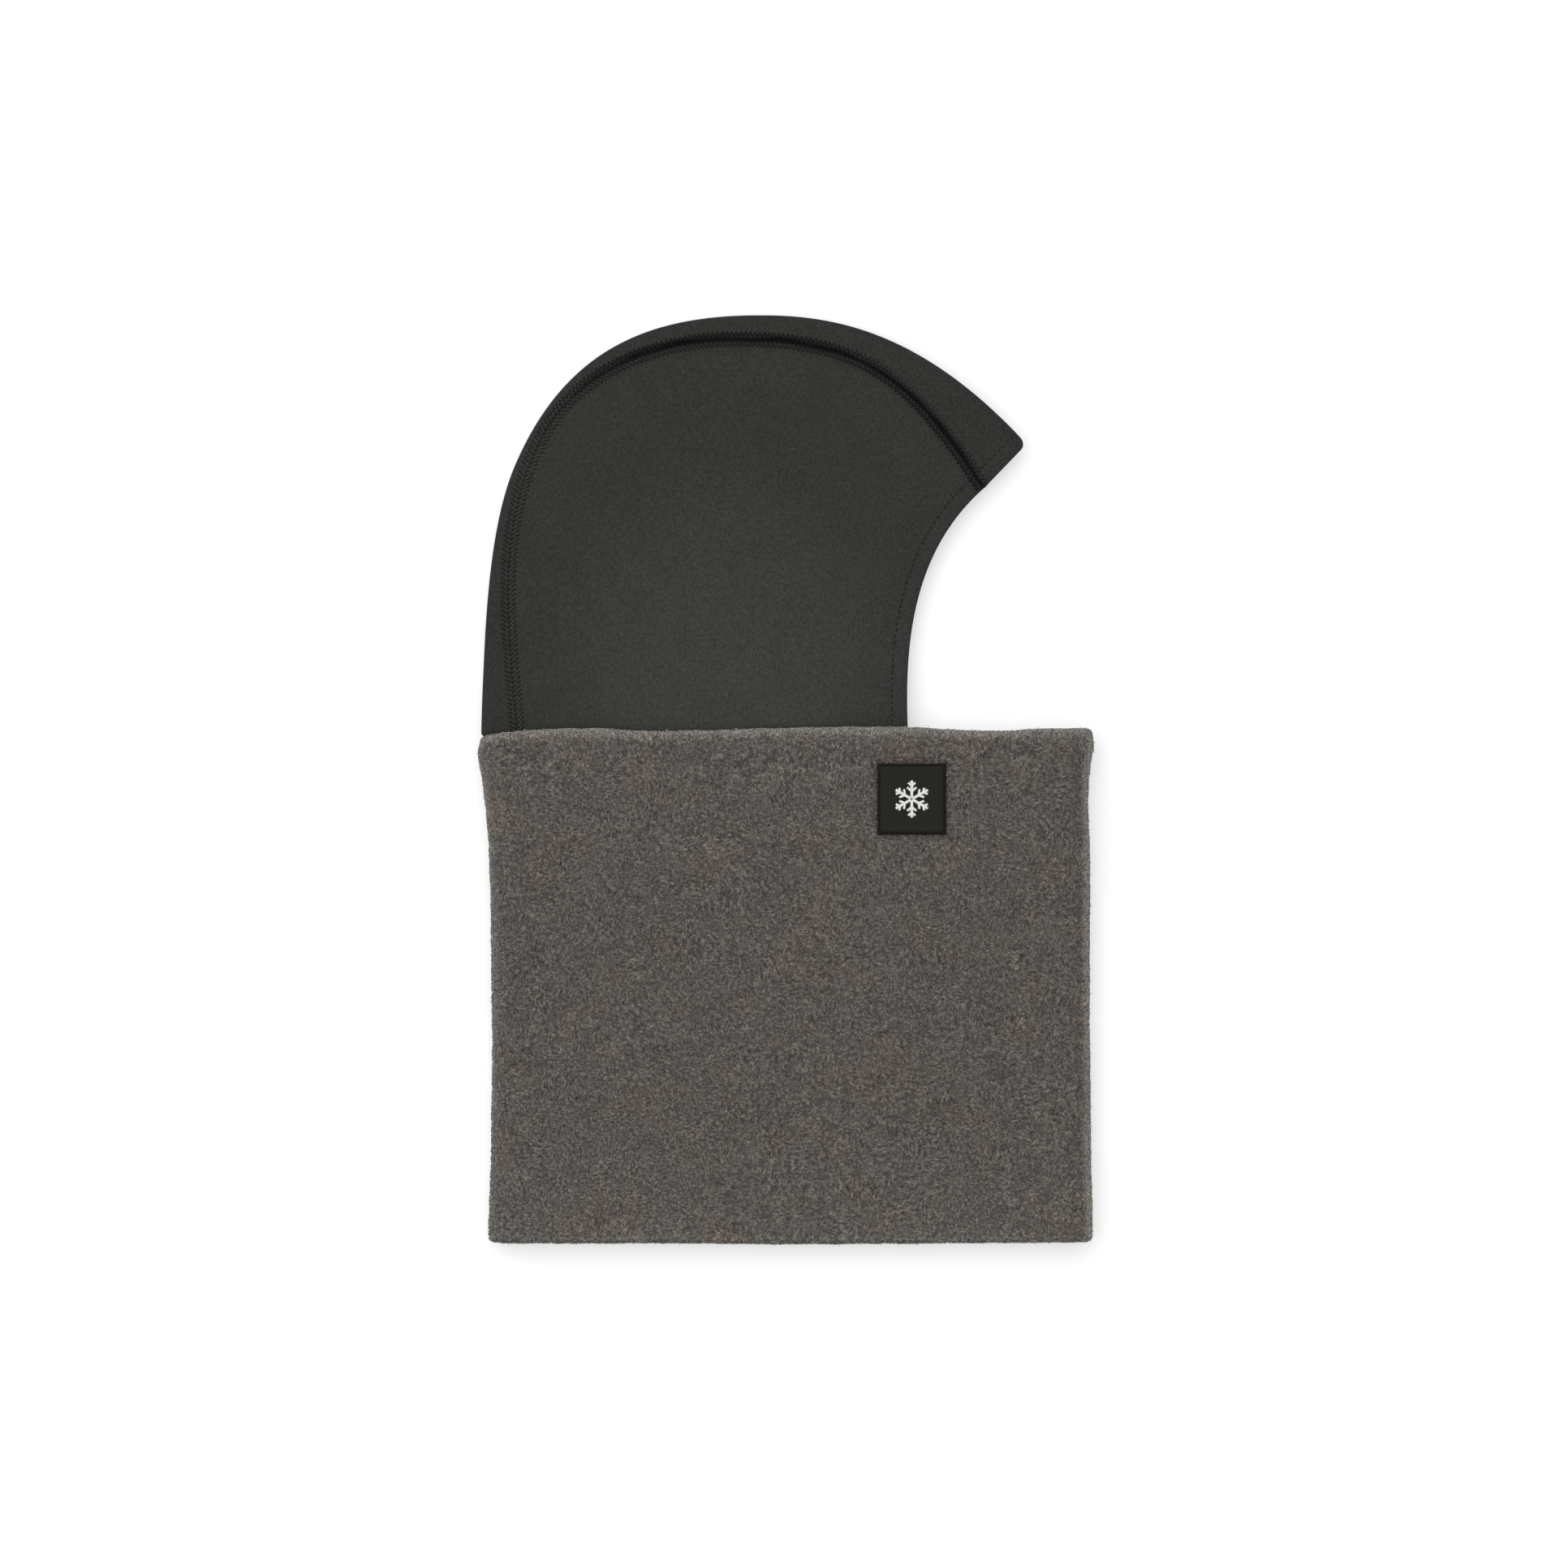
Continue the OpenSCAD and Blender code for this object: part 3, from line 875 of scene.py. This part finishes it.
def ripples(xy, side):
    """Gentle waves of cloth that lies loosely, and faint gathers where it leaves the collar."""
    p = np.stack([xy[:, 0], xy[:, 1], np.full(len(xy), 50.0 * side)], -1)
    gathers = noise(p * (1, 0.2, 1), 11, 42) * np.exp(-np.clip(xy[:, 1] - COLLAR_TOP, 0, None) / 22)
    return 0.55 * noise(p, 52, 41) + 0.16 * noise(p, 21, 43) + 0.28 * gathers


def rounded(off):
    """Share of the half thickness that is reached off mm from the fold."""
    return (1 - (1 - np.clip(off / EDGE_REACH, 0, 1)) ** EDGE_POWER) ** (1 / EDGE_POWER)


def hood_height(xy, side):
    """Height of the hood's outer face. side is 1 for the upper side and -1 for the one on the table."""
    low, half = hood_levels(xy)
    off, _ = nearest(xy, FOLD_LINE)
    wave = ripples(xy, side) * smooth_step(off / 14) * (1 if side > 0 else 0.25)
    return low + half + side * half * rounded(off) + wave


def crown_share(along):
    """0 where the seam runs up the back of the head, and 1 where it crosses the crown."""
    return np.interp(along, (148, 180, 210, 235, 362, 385), (0, 0.3, 0.75, 1, 1, 0.75))


def seam_relief(off, along):
    """Height of the cloth off mm from the seam line, which is positive on the side panel."""
    crown = crown_share(along)
    ditch = -(0.3 + 0.8 * crown) * np.exp(-((off / (0.7 + 0.5 * crown)) ** 2))
    shoulder = (0.2 + 0.45 * crown) * np.exp(-(((off + 2.4) / 1.2) ** 2))
    pucker = 0.08 * np.sin(along * 2 * math.pi / STITCH_PITCH)
    band = between(off, 0.5, 0.6, 4.0, 1.2)
    return ditch + shoulder * (off < 0) + band * (0.25 + pucker)


def between(value, low, soft_low, high, soft_high):
    """1 between low and high, and 0 beyond, softly."""
    return smooth_step((value - low) / soft_low) * (1 - smooth_step((value - high) / soft_high))


def crease_shade(xy, panel):
    """How much painted shade darkens the cloth: in the crown's crease, by the stitches, in the hem's crease,
    and away from the cheek.
    """
    near, along = nearest(xy, SEAM_LINE)
    front, _ = nearest(xy, FRONT_LINE)
    crown = crown_share(along)
    waver = np.stack([along, np.zeros(len(along)), np.full(len(along), 70.0)], -1)
    wide = 1 + 0.5 * noise(waver, 9, 61)
    off = panel * near + 0.45 * noise(waver, 14, 62)
    # Painted shadow in the crown's crease, under the overhanging strip, and painted shade beside it.
    crease = (0.66 + 0.14 * noise(waver, 5, 63)) * crown * between(off, -0.9 * wide, 0.6, 0.5 * wide, 1.1)
    beside = 0.2 * crown * between(off, -2.4, 1.2, 1.8, 5.0)
    # Painted shade over the stitched band at the crown, which turns to painted lightening up the back of the
    # head.
    painted_stitch_band = (0.15 * crown - 0.08) * between(off, -3.0, 0.8, 3.0, 1.6)
    # Painted shade in the hem's stitch crease.
    hem = 0.07 * np.exp(-(((front - HEM_LINE) / 0.6) ** 2)) * (off > 0)
    # Painted shade away from the cheek, and a little more on the centre strip.
    away = 0.24 * smooth_step((np.linalg.norm(xy - CHEEK, axis=1) - 20) / 80) + 0.07 * (off < -1.5)
    return 1 - (1 - crease) * (1 - beside) * (1 - painted_stitch_band) * (1 - hem) * (1 - away)


def hem_relief(front):
    """The doubled cloth of the hem stands proud, and its stitch line draws it down."""
    puff = 0.22 * (1 - smooth_step((front - HEM_W) / 1.5))
    return puff - 0.25 * np.exp(-(((front - HEM_LINE) / 0.75) ** 2))


def cloth_height(xy, side, panel):
    """Height of the outer face with its relief. panel is 1 for a side panel, -1 for the centre panel."""
    off, along = nearest(xy, SEAM_LINE)
    front, _ = nearest(xy, FRONT_LINE)
    fold, _ = nearest(xy, FOLD_LINE)
    relief = seam_relief(panel * off, along) * (0.35 + 0.65 * smooth_step(fold / 6))
    z = hood_height(xy, side) + side * (relief + hem_relief(front) * smooth_step(fold / 4))
    return z if side > 0 else np.maximum(z, TABLE_GAP)


def lifted(xy, z):
    return np.concatenate([xy, np.reshape(z, (-1, 1))], 1)


def on_cloth(xy, side, panel):
    return lifted(xy, cloth_height(xy, side, panel))


def surface_normals(xy, side, step=0.25):
    """Outward unit normals of the hood's face, without its seam relief."""
    dx = hood_height(xy + (step, 0), side) - hood_height(xy - (step, 0), side)
    dy = hood_height(xy + (0, step), side) - hood_height(xy - (0, step), side)
    return unit(side * np.stack([-dx / (2 * step), -dy / (2 * step), np.ones(len(xy))], -1))


# ------ hood: its panels


def turned_edge(edge, outward, normals):
    """Rows that roll the cloth round an edge to its inner side."""
    turns = np.linspace(0, math.pi, 8)[1:]
    return [edge + HEM_R * (outward * math.sin(a) - normals * (1 - math.cos(a))) for a in turns]


def panel_points():
    """The side panel's boundary and inner points: close rows beside seam and hem, and an even field."""
    seam = resample(SEAM_LINE, 1.1)
    face = resample(moved(FACE_LINE, HEM_R), 1.1)
    bottom = resample(np.stack([face[-1], seam[0]]), 1.5)[1:-1]
    loop = np.concatenate([seam, face, bottom])
    by_seam = np.concatenate([moved(seam, d) for d in (0.35, 0.7, 1.1, 1.6, 2.4, 3.3, 4.2, 5.2)])
    by_face = np.concatenate([moved(face, d) for d in (0.7, 1.6, 3.0, 4.4, 5.0, 5.5, 6.0, 6.6, 7.4)])
    step = 1.35
    xs = np.arange(loop[:, 0].min(), loop[:, 0].max(), step)
    ys = np.arange(loop[:, 1].min(), loop[:, 1].max(), step * math.sqrt(3) / 2)
    field = np.array([(x + (j % 2) * step / 2, y) for j, y in enumerate(ys) for x in xs])
    field = field[inside(field, loop)]
    inner = np.concatenate([
        by_seam[nearest(by_seam, face)[0] > 0.5],
        by_face[nearest(by_face, seam)[0] > 5.9],
        field[(nearest(field, seam)[0] > 6.0) & (nearest(field, face)[0] > 8.3)],
    ])
    inner = inner[inside(inner, loop) & (inner[:, 1] > SKIRT_END + 0.6)]
    return loop, len(seam), len(face), inner


def make_side_panel(name, side):
    loop, n_seam, n_face, inner = panel_points()
    flat = [Vector(p) for p in (*loop, *inner)]
    made = delaunay_2d_cdt(flat, [], [list(range(len(loop)))], 1, 1e-4)
    xy = np.array([tuple(v) for v in made[0]])
    faces = [list(f) for f in made[2]]
    index = {i: new for new, olds in enumerate(made[3]) for i in olds}
    points = on_cloth(xy, side, 1)
    edge_ids = [index[n_seam + i] for i in range(n_face)]
    edge = points[edge_ids]
    right = right_normals(edge[:, :2])
    rows = turned_edge(edge, lifted(-right, np.zeros(n_face)), side * UP)
    for d in HEM_ROWS:
        below = edge[:, :2] + right * d
        rows.append(on_cloth(below, side, 1) - side * UP * 2 * HEM_R)
    ids = np.concatenate([[edge_ids], len(points) + np.arange(len(rows) * n_face).reshape(-1, n_face)])
    for a, b in zip(ids[:-1].tolist(), ids[1:].tolist()):
        faces += [[a[i], b[i], b[i + 1], a[i + 1]] for i in range(n_face - 1)]
    points = np.concatenate([points, *rows])
    piece = mesh_object(name, points, faces)
    add_shade(piece, crease_shade(points[:, :2], 1))
    face_outwards(piece)
    thicken(piece, JERSEY_T, JERSEY)
    return piece


def face_outwards(piece):
    """Turns the faces outwards: up on the upper panel, and down on the lower one."""
    work = bmesh.new()
    work.from_mesh(piece.data)
    bmesh.ops.recalc_face_normals(work, faces=work.faces)
    work.to_mesh(piece.data)
    work.free()


def strip_shares(width, count):
    """Shares from the seam (0) to the fold (1) that are even along the rounded profile."""
    off = np.linspace(0, 1, 400) ** 2 * 30
    rise = (REST_HIGH - REST_LOW) / 2 * rounded(off)
    s = lengths_along(np.stack([off, rise], -1))
    at = np.linspace(np.interp(width, off, s), 0, count, axis=-1)
    return 1 - np.interp(at, s, off) / width[:, None]


def make_centre_panel():
    """The strip from the back of the neck to the brim, from one seam round the fold to the other."""
    count, steps = 26, 460
    s = np.linspace(0, 1, steps)
    total = lengths_along((SEAM_LINE + FOLD_LINE) / 2)
    at = np.interp(s * (total[-1] - HEM_R), total, np.arange(len(SEAM_LINE)))
    seam, fold = sample(SEAM_LINE, at), sample(FOLD_LINE, at)
    width = np.linalg.norm(fold - seam, axis=1)
    shares = strip_shares(width, count)
    xy = seam[:, None] + (fold - seam)[:, None] * shares[..., None]
    # The brim's front edge is rounded off towards the fold.
    along = unit(fold[-1] - fold[-8])
    left = (1 - s) * total[-1]
    off = width[:, None] * (1 - shares)
    pull = TIP_R - np.sqrt(TIP_R**2 - np.clip(TIP_R - off, 0, None) ** 2)
    xy = (xy - along * (pull * np.exp(-((left / 6) ** 2))[:, None])[..., None]).reshape(-1, 2)
    upper, lower = (on_cloth(xy, side, -1).reshape(steps, count, 3) for side in (1, -1))
    middle = (upper[:, -1:] + lower[:, -1:]) / 2
    grid = np.concatenate([upper[:, :-1], middle, lower[:, :-1][:, ::-1]], 1)
    columns = grid.shape[1]
    # This grid runs the other way round, so all is turned outwards.
    normals = -grid_normals(grid)
    inward = lengths_along(grid[:, columns // 2])
    back = [np.argmin(np.abs(inward[-1] - inward - d)) for d in HEM_ROWS]
    hem = turned_edge(grid[-1], unit(grid[-1] - grid[-2]), normals[-1])
    hem += [grid[i] - normals[i] * 2 * HEM_R for i in back]
    grid = np.concatenate([grid, np.stack(hem)])
    piece = mesh_object("centre_panel_cloth", grid, grid_faces(len(grid), columns))
    add_shade(piece, crease_shade(grid.reshape(-1, 3)[:, :2], -1))
    piece.data.flip_normals()
    thicken(piece, JERSEY_T, JERSEY)
    return piece


def bends(piece, slot, *nodes):
    """A piece whose transform is baked into its mesh, and which takes the place of the nodes."""
    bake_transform(piece)
    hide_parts(*nodes)


right_panel = make_side_panel("right_panel_cloth", 1)
left_panel = make_side_panel("left_panel_cloth", -1)
centre_cloth = make_centre_panel()
bends(right_panel, "jersey", "right_side_panel", "right_face_hem", "hood_neck_skirt")
bends(left_panel, "jersey", "left_side_panel", "left_face_hem")
bends(centre_cloth, "jersey", "centre_panel", "brim_hem")

# ------ hood: its seams and stitches

# Each row of looper thread: from off, to off, shift along the seam, lift above the cloth, and its radius up
# the back of the head, over the crown and along the brow, which begin and end at RADIUS_AT along the seam.
SEAM_ROWS = (
    (-0.9, -3.1, 0.5, 0.22, (0.18, 0.32, 0.16)),
    (-0.5, 1.7, 0.25, 0.12, (0.18, 0.25, 0.22)),
    (1.7, 3.7, 0.1, 0.1, (0.18, 0.16, 0.26)),
)
RADIUS_AT = (160, 215, 290, 340)
# Up the back of the head the threads that come back are this much thinner than the ones that go out.
BACK_STROKE = 0.3
STITCHED_FROM = COLLAR_TOP - 8


def seam_place(along, off, side):
    """Points and normals of the cloth off mm from the seam line, positive on the side panel."""
    index = np.interp(along, SEAM_LENGTHS, np.arange(len(SEAM_LINE)))
    seam, fold, out = (sample(line, index) for line in (SEAM_LINE, FOLD_LINE, SEAM_OUTWARD))
    reach = np.minimum(-off, 0.5 * np.linalg.norm(fold - seam, axis=1))
    xy = seam + out * reach[:, None]
    return on_cloth(xy, side, -1 if off < 0 else 1), surface_normals(xy, side)


def seam_row(near, far, side, shift, lift, radii):
    """A row of stitches along the seam, each from off near to off far, one pitch apart."""
    first = SEAM_LENGTHS[np.argmax(SEAM_LINE[:, 1] > STITCHED_FROM)]
    starts = np.arange(first, SEAM_LENGTHS[-1] - 1.2 * STITCH_PITCH, STITCH_PITCH) + shift * STITCH_PITCH
    a, na = seam_place(starts, near, side)
    b, nb = seam_place(starts + STITCH_PITCH / 2, far, side)
    back, crown, brow = radii
    radius = np.interp(starts, RADIUS_AT, (back, crown, crown, brow))
    return stitches(a + na * lift, b + nb * lift, na + nb, radius[:, None])


def make_flatlock(name, node, side):
    """Cover stitching over the seam: three rows of looper thread that zigzag on both sides of the ditch."""
    parts = []
    for near, far, shift, lift, (back, *rest) in SEAM_ROWS:
        parts.append(seam_row(near, far, side, shift, lift, (back, *rest)))
        parts.append(seam_row(far, near, side, (shift + 0.5) % 1, lift, (back * BACK_STROKE, *rest)))
    bends(threads(name, SEAM_THREAD, parts), "seam_thread", node)


def hem_stitches(line, side, panel):
    """Short stitches along a line on the hood."""
    half_length, lift, radius = 0.62, 0.05, 0.23
    d = half_length * unit(np.gradient(line, axis=0))
    ends = [on_cloth(p, side, panel) + side * lift * UP for p in (line - d, line + d)]
    return stitches(*ends, surface_normals(line, side), radius)


def make_hem_stitching(name, node, side):
    line = resample(moved(FACE_LINE, HEM_LINE), HEM_PITCH)
    line = line[(line[:, 1] > STITCHED_FROM) & (nearest(line, SEAM_LINE)[0] > 1.5)]
    bends(threads(name, HEM_THREAD, [hem_stitches(line, side, 1)]), "seam_thread", node)


def make_brim_stitching():
    line = resample(moved(BRIM_LINE, HEM_LINE), HEM_PITCH)
    line = line[(nearest(line, SEAM_LINE)[0] > 2.8) & (nearest(line, FOLD_LINE)[0] > 2.0)]
    piece = threads("brim_stitches", HEM_THREAD, [hem_stitches(line, side, -1) for side in (1, -1)])
    rides(piece, "seam_thread", "brim_hem_stitching", body="hood")


make_flatlock("right_seam_stitches", "right_flatlock_seam", 1)
make_flatlock("left_seam_stitches", "left_flatlock_seam", -1)
make_hem_stitching("right_hem_stitches", "right_hem_stitching", 1)
make_hem_stitching("left_hem_stitches", "left_hem_stitching", -1)
make_brim_stitching()

# ------ label, care label, neck seam

LABEL_RISE = 0.75
LABEL_INSET = 1.0
LABEL_SEAT = 0.1
LABEL_SUNK = 0.35


def label_edge(x, y):
    """How far in from the label's edge a place is."""
    room = LABEL_SIZE[:2] / 2 - np.abs(np.stack([x, y], -1) - LABEL_MID[:2])
    return room.min(-1)


def label_top(x, y):
    """Height of the label's face: rolled edges, and a slight dip along its border stitches."""
    edge = label_edge(x, y)
    roll = LABEL_RISE * (1 - (1 - np.clip(edge / 0.8, 0, 1)) ** 2) ** 0.5
    dip = 0.14 * np.exp(-(((edge - LABEL_INSET) / 0.45) ** 2))
    return collar_thickness(x, y) + LABEL_SEAT + roll - dip


def make_label():
    count = 61
    e = np.linspace(-1, 1, count)
    e = np.sign(e) * (1 - (1 - np.abs(e)) ** 1.4)
    x, y = np.meshgrid(*(middle + e * size / 2 for middle, size in zip(LABEL_MID[:2], LABEL_SIZE)))
    heights = (label_top(x, y), collar_thickness(x, y) + LABEL_SEAT - LABEL_SUNK)
    points = np.stack([np.stack([x, y, z], -1) for z in heights])
    top = np.arange(count * count).reshape(count, count)
    ring = [*top[0], *top[1:, -1], *top[-1, -2::-1], *top[-2:0:-1, 0]]
    side = [[a + count * count, b + count * count, b, a] for a, b in zip(ring, ring[1:] + ring[:1])]
    quads = grid_faces(count, count)
    faces = quads.tolist() + (quads[:, ::-1] + count * count).tolist() + side
    piece = mesh_object("woven_label", points, faces, LABEL_WEAVE)
    border = 1 - smooth_step((label_edge(x, y) - 0.8) / 0.8)
    add_shade(piece, 0.45 * np.stack([border, border]))
    return piece


def slab(a, b, width, thick):
    """A soft-topped bar of thread from a to b on the label's face."""
    stations = np.linspace(0, 1, 7)
    profile = ((-1, -0.3), (-1, 0.45), (-0.75, 0.9), (0, 1), (0.75, 0.9), (1, 0.45), (1, -0.3))
    across, up = np.array(profile).T
    right = unit(b - a)[::-1] * (1, -1)
    xy = a + (b - a) * stations[:, None, None] + right * (across[:, None] * width / 2)
    z = label_top(xy[..., 0], xy[..., 1]) + up * thick
    points = np.concatenate([xy, z[..., None]], -1).reshape(-1, 3)
    return points, tube_faces(len(stations), len(profile))


def make_emblem():
    """A plain six-armed snowflake, as wide as the frame's."""
    reach = (EMBLEM_HIGH[1] - EMBLEM_LOW[1]) / 2
    centre = (EMBLEM_LOW + EMBLEM_HIGH)[:2] / 2
    lean = np.array((math.sin(math.radians(50)), math.cos(math.radians(50))))
    bars = [((0, 0.35), (0, reach), 1.15)]
    for share, twig in ((0.42, 2.6), (0.72, 2.0)):
        fork = np.array((0, reach * share))
        bars += [(fork, fork + twig * lean * (way, 1), 0.95) for way in (-1, 1)]
    parts = []
    for arm in range(6):
        c, s = math.cos(arm * math.pi / 3), math.sin(arm * math.pi / 3)
        spin = np.array(((c, -s), (s, c)))
        parts += [slab(centre + spin @ start, centre + spin @ end, width, 0.14) for start, end, width in bars]
    return threads("woven_snowflake", WHITE_WEAVE, parts)


def make_label_stitches():
    pitch, length = 2.1, 1.5
    half = LABEL_SIZE[:2] / 2 - LABEL_INSET
    starts, runs = [], []
    for axis, along in enumerate(np.eye(2)):
        for side in (-1, 1):
            for r in np.arange(-half[axis] + 0.3, half[axis] - length, pitch):
                starts.append(LABEL_MID[:2] + r * along + side * half * (1 - along))
                runs.append(length * along)
    starts, runs = np.array(starts), np.array(runs)
    ends = [lifted(p, label_top(*p.T) + 0.02) for p in (starts, starts + runs)]
    return threads("label_stitches", LABEL_THREAD, [stitches(*ends, UP, 0.17)])


def make_care_label():
    """A thin satin strip that lies on the lining, a little curled at its free end."""
    columns, rows = 13, 19
    across, v = np.meshgrid(np.linspace(0, 1, columns), np.linspace(1, 0, rows))
    x, y = (CARE_LOW + (CARE_HIGH - CARE_LOW) * np.stack([across, 1 - v, v], -1))[..., :2].transpose(2, 0, 1)
    z = WALL_T + 1.0 + 1.6 * v**2 + 0.35 * np.sin(across * 5) * v
    piece = mesh_object("care_label_cloth", np.stack([x, y, z], -1), grid_faces(rows, columns))
    thicken(piece, 0.25, WHITE_WEAVE)
    return piece


def make_neck_seam():
    """The overlocked edge that joins the hood's lower end to the lining: a row of looping thread."""
    pitch, radius = 1.6, 0.3
    xs = np.arange(JOIN_LOW[0] + 5, JOIN_HIGH[0] - 1, pitch)
    parts = []
    for z in ((JOIN_LOW[2] + SKIRT_LOW[2]) / 2, (JOIN_HIGH[2] + SKIRT_HIGH[2]) / 2):
        low, high, next_low = (
            np.stack([xs + shift, np.full(len(xs), y), np.full(len(xs), z)], -1)
            for shift, y in ((0, JOIN_LOW[1]), (pitch / 2, JOIN_HIGH[1]), (pitch, JOIN_LOW[1]))
        )
        parts += [stitches(low, high, UP, radius), stitches(high, next_low, UP, radius)]
    return threads("neck_overlock", SEAM_THREAD, parts)


label = rides(make_label(), "label_weave", "label_patch")
emblem = rides(make_emblem(), "label_print", "label_emblem")
label_thread = rides(make_label_stitches(), "seam_thread", "label_stitching")
care = rides(make_care_label(), "label_print", "care_label")
rides(make_neck_seam(), "seam_thread", "neck_join_seam")

# ------ close


def write_sizes():
    boxes = {"cad": CAD_BOX, "visual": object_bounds()}
    boxes = {name: [list(corner) for corner in box] for name, box in boxes.items()}


write_sizes()
